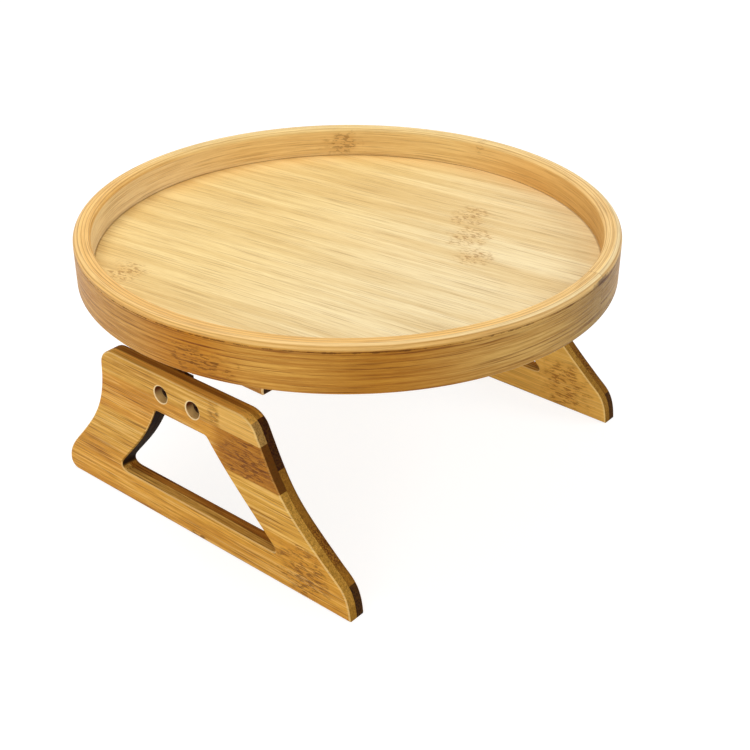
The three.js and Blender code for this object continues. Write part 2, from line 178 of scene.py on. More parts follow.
def new_group(name, inputs, outputs):
    """A node group with the sockets that its tree reads and fills."""
    tree = bpy.data.node_groups.new(name, "ShaderNodeTree")
    for way, sockets in (("INPUT", inputs), ("OUTPUT", outputs)):
        for title, kind in sockets:
            tree.interface.new_socket(name=title, in_out=way, socket_type="NodeSocket" + kind)
    return tree, tree.nodes.new("NodeGroupInput").outputs, tree.nodes.new("NodeGroupOutput").inputs


def place_group(tree, group, **inputs):
    """Places a node group, whose inputs are named with _ for each space."""
    named = {name.replace("_", " "): value for name, value in inputs.items()}
    return put(tree, "Group", named, node_tree=group).outputs


# Bamboo grain: broad bands, streaks, dark hairlines and fine fibres
bamboo_grain, given, result = new_group(
    "bamboo grain",
    [("Grain", "Vector"), ("Seed", "Float")],
    [("Bands", "Float"), ("Streaks", "Float"), ("Hairlines", "Float"), ("Fibres", "Float")],
)
moved = joined(bamboo_grain, given["Seed"], given["Seed"], given["Seed"])
grain = vector_sums(bamboo_grain, "ADD", given["Grain"], moved)
for name, width, length, detail, roughness, low, high in (
    ("Bands", 0.007, 0.12, 2.0, 0.5, 0.3, 0.7),
    ("Streaks", 0.0012, 0.055, 3.0, 0.6, 0.34, 0.66),
    ("Hairlines", 0.00055, 0.035, 2.0, 0.5, 0.53, 0.7),
    ("Fibres", 0.00035, 0.006, 2.0, 0.6, 0.32, 0.68),
):
    drawn = stretched_noise(bamboo_grain, grain, width, length, detail, roughness)
    bamboo_grain.links.new(spread(bamboo_grain, drawn, low, high), result[name])

# Stem joint: the scaly brown ticks where the bamboo stem had a node
stem_joint, given, result = new_group(
    "stem joint",
    [("Grain", "Vector"), ("Centre", "Vector"), ("Half Size", "Vector"), ("Tick Size", "Vector")],
    [("Ticks", "Float"), ("Shade", "Float")],
)
RAGGED = 1.4
BOW = 8.0
off = vector_sums(stem_joint, "SUBTRACT", given["Grain"], given["Centre"])
reach = vector_sums(stem_joint, "LENGTH", vector_sums(stem_joint, "DIVIDE", off, given["Half Size"]))
ragged = sums(stem_joint, "SUBTRACT", stretched_noise(stem_joint, given["Grain"], 0.004, 0.006), 0.5)
reach = sums(stem_joint, "ADD", reach, times(stem_joint, ragged, RAGGED))
inside = spread(stem_joint, reach, 1.0, 0.35)
x, y, z = split(stem_joint, off)
bent = joined(stem_joint, x, sums(stem_joint, "ADD", y, times(stem_joint, x, x, BOW)), z)
scales = noise(stem_joint, vector_sums(stem_joint, "DIVIDE", bent, given["Tick Size"]), 1.0, 2.0, 0.6)
stem_joint.links.new(times(stem_joint, inside, spread(stem_joint, scales, 0.51, 0.57)), result["Ticks"])
stem_joint.links.new(inside, result["Shade"])


def bare_material(name):
    """A material with an empty node tree."""
    material = bpy.data.materials.new(name)
    material.use_nodes = True
    material.node_tree.nodes.clear()
    return material, material.node_tree


def new_material(name):
    """A material with its tree, its shader and the object coordinates."""
    material, tree = bare_material(name)
    shader = put(tree, "BsdfPrincipled")
    tree.links.new(shader.outputs[0], put(tree, "OutputMaterial").inputs[0])
    return material, tree, shader, put(tree, "TexCoord").outputs["Object"]


def grained(tree, base, wood, amounts, depth=1.0):
    """Darkens a colour along its bands, streaks, hairlines and fibres."""
    for share, amount, tint in zip(wood, amounts, ("#dcc79c", "#c6a66a", "#946a30", "#c4a878")):
        base = mixed(tree, times(tree, share, amount, depth), base, colour(tint), "MULTIPLY")
    return base


def with_stem_joint(tree, base, grain, centre, half_size, tick_size, stain, ticking, *strip):
    """Marks a stem joint by its stain and its ticks, each an amount and a colour."""
    ticks, shade = place_group(
        tree, stem_joint, Grain=grain, Centre=centre, Half_Size=half_size, Tick_Size=tick_size,
    )
    for mark, (amount, tone) in ((shade, stain), (ticks, ticking)):
        base = mixed(tree, times(tree, mark, *strip, amount), base, tone)
    return base


def lacquer(tree, shader, wood, roughness, depth):
    """Satin lacquer over open fibres: gloss that varies, and a fine raised grain."""
    gloss = sums(tree, "ADD", times(tree, wood["Fibres"], 0.12), roughness)
    tree.links.new(gloss, shader.inputs["Roughness"])
    height = sums(tree, "SUBTRACT", times(tree, wood["Fibres"], 0.6), wood["Hairlines"])
    bump = put(tree, "Bump", {"Strength": 0.35, "Distance": depth, "Height": height})
    tree.links.new(bump.outputs[0], shader.inputs["Normal"])
    shader.inputs["Specular IOR Level"].default_value = LACQUER_SHINE


def loose_object(bm, name):
    """Turns a bmesh into an object."""
    mesh = bpy.data.meshes.new(name)
    bm.to_mesh(mesh)
    bm.free()
    made = bpy.data.objects.new(name, mesh)
    bpy.context.scene.collection.objects.link(made)
    return made


def smooth(mesh, soft_angle):
    """Shades curves smooth and leaves crisp corners."""
    mesh.shade_smooth()
    mesh.set_sharp_from_angle(angle=math.radians(soft_angle))


def shaded(made, soft_angle):
    """Smooth shading that keeps flat faces flat."""
    smooth(made.data, soft_angle)
    even = made.modifiers.new("even_shading", "WEIGHTED_NORMAL")
    even.keep_sharp = True
    return made


def spin_round(bm, steps):
    """Spins a profile once about Z and closes it."""
    bmesh.ops.spin(
        bm, geom=bm.verts[:] + bm.edges[:], cent=(0, 0, 0), axis=(0, 0, 1),
        angle=2 * math.pi, steps=steps, use_merge=True,
    )
    bmesh.ops.remove_doubles(bm, verts=bm.verts[:], dist=MERGE)
    bmesh.ops.recalc_face_normals(bm, faces=bm.faces[:])


bm = bmesh.new()
profile = [
    bm.verts.new((r, 0, height)) for r, height in (
        (RIM_REBATE, RIM_LEDGE), (RIM_REBATE, RIM_FOOT), (RIM_OUTER, RIM_FOOT),
        (RIM_OUTER, RIM_SEAM - SEAM_HALF_WIDTH), (RIM_OUTER - SEAM_DEPTH, RIM_SEAM),
        (RIM_OUTER, RIM_SEAM + SEAM_HALF_WIDTH),
        (RIM_OUTER, RIM_TOP), (RIM_INNER, RIM_TOP), (RIM_INNER, RIM_LEDGE),
    )
]
bm.faces.new(profile)
for place, size in ((2, FOOT_ROUND), (6, OUTER_ROUND), (7, INNER_ROUND)):
    bmesh.ops.bevel(
        bm, geom=[profile[place]], affect="VERTICES", offset=size, segments=8, profile=0.5, material=-1,
    )
bmesh.ops.delete(bm, geom=bm.faces[:], context="FACES_ONLY")
spin_round(bm, RIM_STEPS)
rim = shaded(loose_object(bm, "rim_hoop"), 40)

rim_bamboo, tree, shader, at = new_material("rim_bamboo")
x, y, z = split(tree, turned(tree, at, math.radians(180 - LAP_ANGLE)))
radius = vector_sums(tree, "LENGTH", joined(tree, x, y, 0.0))
round_way = times(tree, sums(tree, "ARCTAN2", y, x), RIM_OUTER)
grain = joined(tree, z, round_way, radius)
wood = place_group(tree, bamboo_grain, Grain=grain, Seed=0.3)
on_wall = spread(tree, radius, RIM_OUTER - 0.0013, RIM_OUTER - 0.0005)
below_top = spread(tree, z, RIM_TOP - 0.0016, RIM_TOP - 0.003)
outer_wall = times(tree, on_wall, below_top)
in_bore = spread(tree, radius, RIM_INNER + 0.0012, RIM_INNER + 0.0004)
inner_wall = times(tree, in_bore, below_top)

# The strip changes tone round the wall; the top and the inside carry painted light across the tray
wall_stops = [(0.0, "#ba9957"), (1.0, "#ba9957")]
for angle, tone in (
    (-104, "#e2b96b"), (-134, "#ce9233"), (-156, "#eab355"), (-168, "#da962e"), (172, "#e6b362"),
    (120, "#e6b05c"), (60, "#dca552"), (0, "#e6b264"), (-50, "#d2a058"),
):
    wall_stops.append((((angle - LAP_ANGLE) % 360) / 360, tone))
wall_tone = ramp(tree, spread_evenly(tree, round_way, -RIM_HALF_ROUND, RIM_HALF_ROUND), wall_stops, "EASE")
to_right = vector_sums(tree, "DOT_PRODUCT", at, TO_RIGHT)
# The inside is painted lighter on the left wall and darker on the right, as light falls across the tray
inside_tone_and_painted_light = ramp(tree, spread_evenly(tree, to_right, -RIM_INNER, RIM_INNER), [
    (0.0, "#ffe9ba"), (1.0, "#dbae66"), (0.25, "#ffdf9b"), (0.72, "#ffe29e"), (0.9, "#f2c67c"),
])
to_back = vector_sums(tree, "DOT_PRODUCT", at, TO_BACK)
# The top is painted lighter towards the back, as light from behind would fall, and paler towards the right
top_tone_and_painted_light = tinted(tree, colour("#fbcd7e"), "#ffe4a2", spread(tree, to_back, 0.02, 0.11))
top_tone_and_painted_light = tinted(tree, top_tone_and_painted_light, "#fbd998", spread(tree, to_right, 0.03, 0.12, 0.0, 0.8))
# A painted highlight along the top's outer rounding, strongest towards the right
painted_highlight_edge = between(tree, radius, RIM_OUTER - 0.0027, RIM_OUTER - 0.0009)
top_tone_and_painted_light = tinted(tree, top_tone_and_painted_light, "#fff2c4", painted_highlight_edge, spread(tree, to_right, -0.06, 0.09, 0.15, 0.6))
base = mixed(tree, outer_wall, top_tone_and_painted_light, wall_tone)
base = mixed(tree, inner_wall, base, inside_tone_and_painted_light)
depth = sums(tree, "ADD", times(tree, outer_wall, 0.5), 0.5)
base = grained(tree, base, wood, (0.4, 0.65, 0.7, 0.25), depth)

# Ply joints show as fine rings on the top, wavering a little
waver = sums(tree, "SUBTRACT", stretched_noise(tree, grain, 0.02, 0.03, 1.0), 0.5)
ring = sums(tree, "ADD", radius, times(tree, waver, 0.0005))
to_joint = sums(tree, "PINGPONG", sums(tree, "SUBTRACT", ring, RIM_INNER), PLY / 2)
base = tinted(tree, base, "#a97432", spread(tree, to_joint, PLY / 2 - 0.00028, PLY / 2 - 0.0001, 0.0, 0.5))

# Glue seam below the outer edge, thick and thin, and a chip where the strip's end laps
seam_waver = stretched_noise(tree, grain, 0.01, 0.005, 4.0, 0.65)
from_seam = sums(tree, "ABSOLUTE", sums(tree, "SUBTRACT", z, RIM_SEAM))
seam = sums(tree, "LESS_THAN", from_seam, spread(tree, seam_waver, 0.42, 0.68, 0.0, 0.00055))
base = tinted(tree, base, "#6a3f16", seam, on_wall, 0.6)
to_lap = sums(tree, "SUBTRACT", RIM_HALF_ROUND, sums(tree, "ABSOLUTE", round_way))
base = tinted(tree, base, "#6b431a", spread(tree, to_lap, 0.0005, 0.0002, 0.0, 0.25))
chip = spread(tree, sums(tree, "ADD", to_lap, times(tree, seam_waver, 0.024)), 0.021, 0.013)
chip_height = between(tree, z, RIM_SEAM - 0.0008, RIM_SEAM + 0.0018)
base = tinted(tree, base, "#5a3614", chip, chip_height, on_wall, 0.8)


def round_place(angle, height):
    """Grain coordinates of a place in the hoop's wall."""
    turn = (angle - LAP_ANGLE) % 360 - 180
    return (height, math.radians(turn) * RIM_OUTER, WALL_MIDDLE)


for angle, height, half_length, stain, tick_width, tick_length in (
    (-167.5, 0.1090, 0.020, 0.55, 0.0010, 0.0048),
    (42.5, 0.1150, 0.014, 0.2, 0.0013, 0.0040),
    (4.7, 0.1220, 0.003, 0.05, 0.0011, 0.0042),
):
    base = with_stem_joint(
        tree, base, grain, round_place(angle, height), (0.008, half_length, 0.02),
        (tick_width, tick_length, tick_width), (stain, colour("#c07f2a")), (0.25 + stain, colour("#74430a")),
    )
tree.links.new(base, shader.inputs["Base Color"])
lacquer(tree, shader, wood, 0.36, 0.0002)
rim.data.materials.append(rim_bamboo)
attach(rim, "tray")
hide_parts("tray_rim")


# Floor: a panel of pale bamboo strips glued edge to edge and sanded flat,
# cut to a disc and glued into the rim's rebate. Its grain runs a little off the legs' line.
FLOOR_TURN = math.radians(7)
FLOOR_STRIP = 0.021
FLOOR_TOP = 0.1085

floor_bamboo, tree, shader, at = new_material("floor_bamboo")
grain = turned(tree, at, -FLOOR_TURN)
wood = place_group(tree, bamboo_grain, Grain=grain, Seed=1.7)
across, along = split(tree, grain)[:2]
strip = sums(tree, "FLOOR", sums(tree, "DIVIDE", across, FLOOR_STRIP))
strip_tone = put(tree, "TexWhiteNoise", {"W": strip}, noise_dimensions="1D").outputs["Value"]
base = tinted(tree, colour("#f9e7b9"), "#f8dd9c", spread(tree, along, -0.08, 0.06))
base = tinted(tree, base, "#f2cf8c", strip_tone, 0.3)
base = grained(tree, base, wood, (0.44, 0.2, 0.36, 0.12))

# The back edge is painted warmer, as the orange wall's reflected light, and a thin dark line runs along the
# rim
to_back = vector_sums(tree, "DOT_PRODUCT", at, TO_BACK)
to_rim = vector_sums(tree, "LENGTH", vector_sums(tree, "MULTIPLY", at, (1.0, 1.0, 0.0)))
near_rim = spread(tree, to_rim, RIM_INNER - 0.019, RIM_INNER + 0.001)
base = tinted(tree, base, "#f6bd68", near_rim, spread(tree, to_back, 0.02, 0.09, 0.0, 0.25))
base = tinted(tree, base, "#8a5a20", spread(tree, to_rim, RIM_INNER - 0.0010, RIM_INNER - 0.0004, 0.0, 0.5))
for x_at, y_at, half_across, half_along in (
    (0.063, -0.024, 0.015, 0.012), (0.044, -0.038, 0.015, 0.013),
    (0.027, -0.052, 0.012, 0.012), (-0.086, 0.057, 0.012, 0.012),
):
    centre = Matrix.Rotation(-FLOOR_TURN, 3, "Z") @ Vector((x_at, y_at, FLOOR_TOP))
    base = with_stem_joint(
        tree, base, grain, centre, (half_across, half_along, 0.02), (0.0015, 0.0034, 0.0015),
        (0.14, colour("#e0ac5c")), (0.55, colour("#9a6420")),
    )
tree.links.new(base, shader.inputs["Base Color"])
lacquer(tree, shader, wood, 0.4, 0.00012)
floor_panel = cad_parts["tray_floor"]
floor_panel.data.materials.clear()
floor_panel.data.materials.append(floor_bamboo)


# Battens: bamboo blocks with rounded lower edges and eased ends, one under each side of
# the tray, that carry the hinges. Each is drilled for its screws and lacquered.
BATTEN_EASE = 0.0007
FLUSH = 1e-5

# How far a face's normal points along an axis when the face is square to it, or slanted
SQUARE = 0.97
SLANTED = 0.3


def skin_of(node):
    """A copy of a CAD node's mesh, merged into one skin of whole flat faces."""
    copy = bmesh.new()
    copy.from_mesh(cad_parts[node].data)
    bmesh.ops.remove_doubles(copy, verts=copy.verts[:], dist=MERGE)
    bmesh.ops.dissolve_limit(copy, angle_limit=math.radians(0.5), verts=copy.verts[:], edges=copy.edges[:])
    return copy


def face_marks(mesh, *names):
    """Adds named marks to a mesh's faces, for its material to read."""
    for name in names:
        mesh.attributes.new(name, "FLOAT", "FACE")
    return [mesh.attributes[name].data for name in names]


def marked(tree, name):
    """A mark of the mesh's faces, as a share."""
    return put(tree, "Attribute", attribute_name=name).outputs["Fac"]


batten_bamboo, tree, shader, at = new_material("batten_bamboo")
wood = place_group(tree, bamboo_grain, Grain=at, Seed=3.1)
sawn = marked(tree, "sawn_end")
base = grained(tree, colour("#e2b065"), wood, (0.4, 0.65, 0.7, 0.25))
# The sawn ends are painted nearly black: darker end grain with painted shade over it
base = tinted(tree, base, "#1a0803", sawn, 0.95)
base = tinted(tree, base, "#ffe2a6", marked(tree, "eased_end"), 0.6)
tree.links.new(base, shader.inputs["Base Color"])
lacquer(tree, shader, wood, sums(tree, "ADD", times(tree, sawn, 0.4), 0.42), 0.0002)
for side in ("left", "right"):
    bm = skin_of(side + "_batten")
    levels = [v.co.y for v in bm.verts]
    for end in (min(levels), max(levels)):
        end_edges = [e for e in bm.edges if all(abs(v.co.y - end) < FLUSH for v in e.verts)]
        bmesh.ops.bevel(
            bm, geom=end_edges, affect="EDGES", offset=BATTEN_EASE, segments=1, profile=0.5, material=-1,
        )
    batten = shaded(loose_object(bm, side + "_hinge_block"), 30)
    sawn_faces, eased_faces = face_marks(batten.data, "sawn_end", "eased_end")
    for polygon in batten.data.polygons:
        slope = abs(polygon.normal.y)
        sawn_faces[polygon.index].value = float(slope > SQUARE)
        eased_faces[polygon.index].value = float(SLANTED < slope <= SQUARE)
    batten.data.materials.append(batten_bamboo)
    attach(batten, "tray")
    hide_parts(side + "_batten")


# Screws: dark bronze-plated steel with cross recesses. Countersunk ones hold each batten to
# the floor and each fixed leaf to its batten; pan heads hold the legs.
BATTEN_SCREW_HEAD = 0.0038
BATTEN_SCREW_SHANK = 0.0019
LEAF_SCREW_HEAD = 0.0027
LEAF_SCREW_SHANK = 0.0015
SCREW_STEPS = 40
HEAD_EDGE = 0.00018
RECESS_BAR = 0.2
RECESS_TAPER = (0.45, 0.7, 1)

# The cross of a countersunk screw, as shares of its head's radius
CROSS_SIZE = 1.15
CROSS_DEPTH = 0.45

screw_steel, tree, shader, at = new_material("screw_steel")
mottle = noise(tree, at, 900.0, 3.0)
base = tinted(tree, colour("#5a4334"), "#402d22", spread(tree, mottle, 0.35, 0.65))
tree.links.new(base, shader.inputs["Base Color"])
tree.links.new(spread(tree, mottle, 0.3, 0.7, 0.36, 0.5), shader.inputs["Roughness"])
shader.inputs["Metallic"].default_value = 1.0


def cut_out(made, cutters):
    """Takes the cutters' shapes out of an object's mesh and removes the cutters."""
    for cutter in cutters:
        step = made.modifiers.new("cut", "BOOLEAN")
        step.operation = "DIFFERENCE"
        step.solver = "EXACT"
        step.object = cutter
    bpy.context.view_layer.update()
    shown = made.evaluated_get(bpy.context.evaluated_depsgraph_get())
    mesh = bpy.data.meshes.new_from_object(shown)
    made.modifiers.clear()
    made.data = mesh
    for cutter in cutters:
        bpy.data.objects.remove(cutter)
    return made


def turned_shape(profile, steps):
    """Spins a profile of radius and height pairs about Z."""
    bm = bmesh.new()
    row = [bm.verts.new((r, 0, h)) for r, h in profile]
    for lower, upper in zip(row, row[1:]):
        bm.edges.new((lower, upper))
    spin_round(bm, steps)
    return bm


def cross_recess(size, depth):
    """Two crossed tapered bars that press the recess into a screw head at height 0."""
    bars = []
    for turn in (0, 90):
        bm = bmesh.new()
        bmesh.ops.create_cube(bm, size=1)
        bmesh.ops.scale(bm, vec=(size, size * RECESS_BAR, depth * 2), verts=bm.verts[:])
        tip = [v for v in bm.verts if v.co.z > 0]
        bmesh.ops.scale(bm, vec=RECESS_TAPER, verts=tip)
        bmesh.ops.rotate(bm, matrix=Matrix.Rotation(math.radians(turn), 3, "Z"), verts=bm.verts[:])
        bars.append(loose_object(bm, "bar"))
    return bars


def finish_screw(bm, recess, depth, place, name, node, body):
    """Presses the cross into a screw that points up Z from its head, and puts it in place."""
    screw = cut_out(loose_object(bm, name), cross_recess(recess, depth))
    screw.data.transform(place)
    smooth(screw.data, 35)
    screw.data.materials.clear()
    screw.data.materials.append(screw_steel)
    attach(screw, body)
    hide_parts(node)


def countersunk(head, shank, length):
    """A countersunk screw by the radius of its head and shank."""
    return turned_shape([
        (0, 0), (head - HEAD_EDGE, 0), (head, HEAD_EDGE), (shank, head - shank + HEAD_EDGE),
        (shank, length - shank), (0, length),
    ], SCREW_STEPS)


for side in ("left", "right"):
    for end in ("front", "back"):
        for kind, head, shank in (
            ("batten", BATTEN_SCREW_HEAD, BATTEN_SCREW_SHANK),
            ("leaf", LEAF_SCREW_HEAD, LEAF_SCREW_SHANK),
        ):
            node = f"{side}_{kind}_screw_{end}"
            low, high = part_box(node)
            place = Matrix.Translation(((low.x + high.x) / 2, (low.y + high.y) / 2, low.z))
            bm = countersunk(head, shank, high.z - low.z)
            name = f"{side}_{kind}_countersunk_{end}"
            finish_screw(bm, head * CROSS_SIZE, head * CROSS_DEPTH, place, name, node, "tray")


# Hinges: two stamped leaves of bronze-plated sheet steel on each side, with five rolled
# knuckles between them, on a riveted pin. One leaf is on the batten, one on the leg.
PIN_RADIUS = 0.001
PIN_HEAD = 0.0017
PIN_HEAD_LENGTH = 0.0008
PIN_STEPS = 32
RIVET = [
    (0, 0), (0.0006, 0.00005), (0.0012, 0.00022), (0.0016, 0.00055),
    (PIN_HEAD, PIN_HEAD_LENGTH), (PIN_RADIUS, PIN_HEAD_LENGTH),
]

hinge_steel, tree, shader, at = new_material("hinge_steel")
mottle = noise(tree, at, 260.0, 4.0, 0.6)
rolled = stretched_noise(tree, at, 0.0003, 0.012)
base = tinted(tree, colour("#7c5838"), "#5e4128", spread(tree, mottle, 0.35, 0.65))
base = tinted(tree, base, "#482f1c", spread(tree, rolled, 0.4, 0.7, 0.0, 0.3))
tree.links.new(base, shader.inputs["Base Color"])
tree.links.new(spread(tree, rolled, 0.3, 0.7, 0.3, 0.46), shader.inputs["Roughness"])
shader.inputs["Metallic"].default_value = 0.7

for side in ("left", "right"):
    for kind, body in (("fixed", "tray"), ("moving", side + "_leg")):
        leaf = shaded(loose_object(skin_of(f"{side}_hinge_{kind}_leaf"), f"{side}_{kind}_leaf"), 30)
        leaf.data.materials.append(hinge_steel)
        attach(leaf, body)
        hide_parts(f"{side}_hinge_{kind}_leaf")

    low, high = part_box(side + "_hinge_pin")
    length = high.y - low.y
    bm = turned_shape(RIVET + [(r, length - h) for r, h in reversed(RIVET)], PIN_STEPS)
    bmesh.ops.transform(bm, matrix=Matrix.Rotation(math.radians(-90), 4, "X"), verts=bm.verts[:])
    place = Vector(((low.x + high.x) / 2, low.y, (low.z + high.z) / 2))
    bmesh.ops.translate(bm, vec=place, verts=bm.verts[:])
    pin = shaded(loose_object(bm, side + "_riveted_pin"), 35)
    pin.data.materials.append(hinge_steel)
    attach(pin, "tray")
    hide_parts(side + "_hinge_pin")


# Legs: boards of two bamboo plies glued face to face, sawn to a bowed outline with a
# window, edges eased by hand. Each has two counterbored holes and folds on its hinge.
LEG_HEIGHT = 0.0783
LEG_THICKNESS = 0.0092
LEG_MIDDLE = 0.1012
LEG_FACE = LEG_MIDDLE + LEG_THICKNESS / 2
LEG_BACK = 0.0072
LEG_EASE = 0.001
TOE = Vector((-0.0985, 0))
HEEL = 0.0779
HEEL_ROUND = 0.0047
BACK_ROUND = 0.0085
BACK_TOP = 0.05
FRONT_ROUND = 0.0105
FRONT_TOP = 0.0449
FRONT_TURN = 66.1
WINDOW_TOP = LEG_HEIGHT - 0.0197
WINDOW_SILL = 0.015
WINDOW_TOP_SOFT = 0.0015
WINDOW_FRONT_SOFT = 0.006
WINDOW_BACK_SOFT = 0.0085
GLUE_GROOVE = 0.00012
HOLE_HEIGHT = 0.0687
HOLES = (-0.0028, 0.0172)
COUNTERBORE = 0.0041
COUNTERBORE_DEPTH = 0.0054
HOLE_MOUTH = 0.0046
HOLE_CHAMFER = 0.0003
HOLE_BORE = 0.0023
HOLE_STEPS = 48
DRILL_OUT = 0.001
DRILL_THROUGH = 0.012
PAN_HEAD = 0.0024
PAN_SHANK = 0.002
PAN_TIP = 0.0003
PAN_RECESS = 0.0042
PAN_RECESS_DEPTH = 0.0015
PAN_DOME = [
    (0, 0), (0.0014, 0.00006), (0.0024, 0.00028), (0.0031, 0.0008),
    (0.0035, 0.0015), (0.0036, 0.0021), (0.0035, PAN_HEAD),
]

# Glue seams between the board's strips, by height, and the top of their scale
SOLE = 0.006
LOW_SEAM = 0.0265
MIDDLE_SEAM = 0.047
HIGH_SEAM = 0.0665
STRIPS_TOP = 0.08


def lean(degrees, across, up):
    """A direction that leans off the upright, with the signs of its way across and up."""
    angle = math.radians(degrees)
    return Vector((across * math.sin(angle), up * math.cos(angle)))


def line(path, end):
    """A straight to a point."""
    start, end = path[-1][2], Vector(end)
    path.append((start.lerp(end, 1 / 3), start.lerp(end, 2 / 3), end))


def flow(path, end, leave, arrive, leave_pull, arrive_pull):
    """A curve that leaves along one direction and arrives along another."""
    start, end = path[-1][2], Vector(end)
    span = (end - start).length
    path.append((start + leave * leave_pull * span, end - arrive * arrive_pull * span, end))


def corner(path, tip, end):
    """A soft corner, drawn towards its tip."""
    start, tip, end = path[-1][2], Vector(tip), Vector(end)
    path.append((start.lerp(tip, 2 / 3), end.lerp(tip, 2 / 3), end))


def arc(path, centre, radius, start_angle, end_angle):
    """A part of a circle, between two angles."""
    sweep = math.radians(end_angle - start_angle)
    pull = 4 / 3 * math.tan(sweep / 4) * radius
    ends = []
    for angle in (math.radians(start_angle), math.radians(end_angle)):
        out = Vector((math.cos(angle), math.sin(angle)))
        ends.append((Vector(centre) + out * radius, Vector((-out.y, out.x)) * pull))
    path.append((ends[0][0] + ends[0][1], ends[1][0] - ends[1][1], ends[1][0]))


# The outline goes from the toe along the foot, up the back, along the top and down the front
outline = [(None, None, TOE)]
line(outline, (HEEL, 0))
arc(outline, (HEEL, HEEL_ROUND), HEEL_ROUND, -90, 0)
back_foot = lean(41.3, -1, 1)
flow(outline, (0.075, 0.0196), Vector((0, 1)), back_foot, 0.34, 0.36)
flow(outline, (BACK_TOP, LEG_HEIGHT - BACK_ROUND), back_foot, lean(1.8, -1, 1), 0.42, 0.39)
arc(outline, (BACK_TOP - BACK_ROUND, LEG_HEIGHT - BACK_ROUND), BACK_ROUND, 0, 90)
front_start = FRONT_TOP - FRONT_ROUND * math.tan(math.radians(FRONT_TURN / 2))
line(outline, (-front_start, LEG_HEIGHT))
arc(outline, (-front_start, LEG_HEIGHT - FRONT_ROUND), FRONT_ROUND, 90, 90 + FRONT_TURN)
front_foot = lean(49.3, -1, -1)
flow(outline, (-0.0875, 0.02), lean(90 - FRONT_TURN, -1, -1), front_foot, 0.48, 0.5)
flow(outline, TOE, front_foot, lean(4.4, -1, -1), 0.27, 0.62)

# The window goes from its top down the front, along the sill and up the back
front_top, front_low = lean(37, -1, -1), lean(45, -1, -1)
back_top, back_low = lean(25, 1, -1), lean(39.7, 1, -1)
front_top_tip = Vector((-0.0172, WINDOW_TOP))
front_low_tip = Vector((-0.0586, WINDOW_SILL))
back_low_tip = Vector((0.0462, WINDOW_SILL))
back_top_tip = Vector((0.0148, WINDOW_TOP))
backward = Vector((1, 0))
window = [(None, None, front_top_tip + backward * WINDOW_TOP_SOFT)]
corner(window, front_top_tip, front_top_tip + front_top * WINDOW_TOP_SOFT)
flow(window, front_low_tip - front_low * WINDOW_FRONT_SOFT, front_top, front_low, 0.33, 0.33)
corner(window, front_low_tip, front_low_tip + backward * WINDOW_FRONT_SOFT)
line(window, back_low_tip - backward * WINDOW_BACK_SOFT)
corner(window, back_low_tip, back_low_tip - back_low * WINDOW_BACK_SOFT)
flow(window, back_top_tip + back_top * WINDOW_TOP_SOFT, -back_low, -back_top, 0.3, 0.42)
corner(window, back_top_tip, back_top_tip - backward * WINDOW_TOP_SOFT)
line(window, window[0][2])

leg_bamboo, tree, shader, at = new_material("leg_bamboo")
x, y, z = split(tree, at)
grain = joined(tree, z, y, x)
wood = place_group(tree, bamboo_grain, Grain=grain, Seed=5.2)
streaks, hairlines = wood["Streaks"], wood["Hairlines"]


def strips(levels, tones):
    """Strip tones by height: levels in metres from the foot up, one more tone than levels."""
    places = [0.0] + [level / STRIPS_TOP for level in levels]
    return ramp(tree, sums(tree, "DIVIDE", z, STRIPS_TOP), list(zip(places, tones)), "CONSTANT")


# Broad faces: a dark strip and a pale block at the front, and the right board painted paler than the left
base = strips(
    (SOLE, LOW_SEAM, MIDDLE_SEAM, HIGH_SEAM),
    ("#f8bc4a", "#f8bc4a", "#f8c358", "#f4b549", "#f9c65e"),
)
dark_strip = times(tree, between(tree, z, MIDDLE_SEAM, HIGH_SEAM), spread(tree, y, -0.012, -0.020))
base = tinted(tree, base, "#bc7810", dark_strip, 0.68)
base = grained(tree, base, wood, (0.4, 0.55, 0.75, 0.3))
off_dark_strip = spread(tree, dark_strip, 0.0, 1.0, 1.0, 0.2)
base = tinted(tree, base, "#ffdf96", spread(tree, streaks, 0.3, 0.05, 0.0, 0.24), off_dark_strip)
top_strip = sums(tree, "GREATER_THAN", z, HIGH_SEAM)
base = tinted(tree, base, "#ffcc70", top_strip, spread(tree, y, -0.0175, -0.0205, 0.0, 0.4))
right_board = sums(tree, "GREATER_THAN", x, 0.0)
# The right board is painted paler, as painted light where the tray shades it
base = tinted(tree, base, "#ffd070", right_board, 0.45)
tick_tone = tinted(tree, colour("#6e3a04"), "#8c4c0a", right_board)

# Stem joints stay within their own strip of the board
for y_at, z_at, half_along, half_across, low, high, stain in (
    (-0.036, 0.0560, 0.022, 0.018, MIDDLE_SEAM, HIGH_SEAM, 0.3),
    (-0.066, 0.013, 0.019, 0.018, 0.0, LOW_SEAM, 0.18),
    (-0.0005, 0.001, 0.006, 0.0025, 0.0, LOW_SEAM, 0.25),
    (-0.0160, 0.0725, 0.004, 0.010, HIGH_SEAM, STRIPS_TOP, 0.1),
):
    base = with_stem_joint(
        tree, base, grain, (z_at, y_at, 0.0), (half_across, half_along, 1.0), (0.0008, 0.0046, 0.0008),
        (stain, colour("#b06c10")), (0.5 + stain, tick_tone), between(tree, z, low, high),
    )

# Eased edges facing out and up carry a painted highlight. Sawn edges are darker, and each ply shows its own
# strips
highlight_share = sums(tree, "SUBTRACT", 0.45, times(tree, dark_strip, 0.35))
base = tinted(tree, base, "#ffe09a", marked(tree, "highlighted_edge"), highlight_share)
from_middle = sums(tree, "SUBTRACT", sums(tree, "ABSOLUTE", x), LEG_MIDDLE)
through = times(tree, from_middle, sums(tree, "SIGN", x))
first_ply = sums(tree, "LESS_THAN", through, 0.0)
# The top tone of each ply is painted pale, as light falling on the leg's top edge
first_tones = strips(
    (SOLE, LOW_SEAM, MIDDLE_SEAM, HIGH_SEAM, 0.0755),
    ("#b98630", "#cb963c", "#e0a948", "#70400e", "#cca25c", "#ffc862"),
)
second_tones = strips(
    (0.014, 0.035, 0.055, 0.0758),
    ("#280e04", "#a87224", "#b07a2a", "#320c06", "#f4b64e"),
)
edge = mixed(tree, first_ply, second_tones, first_tones)

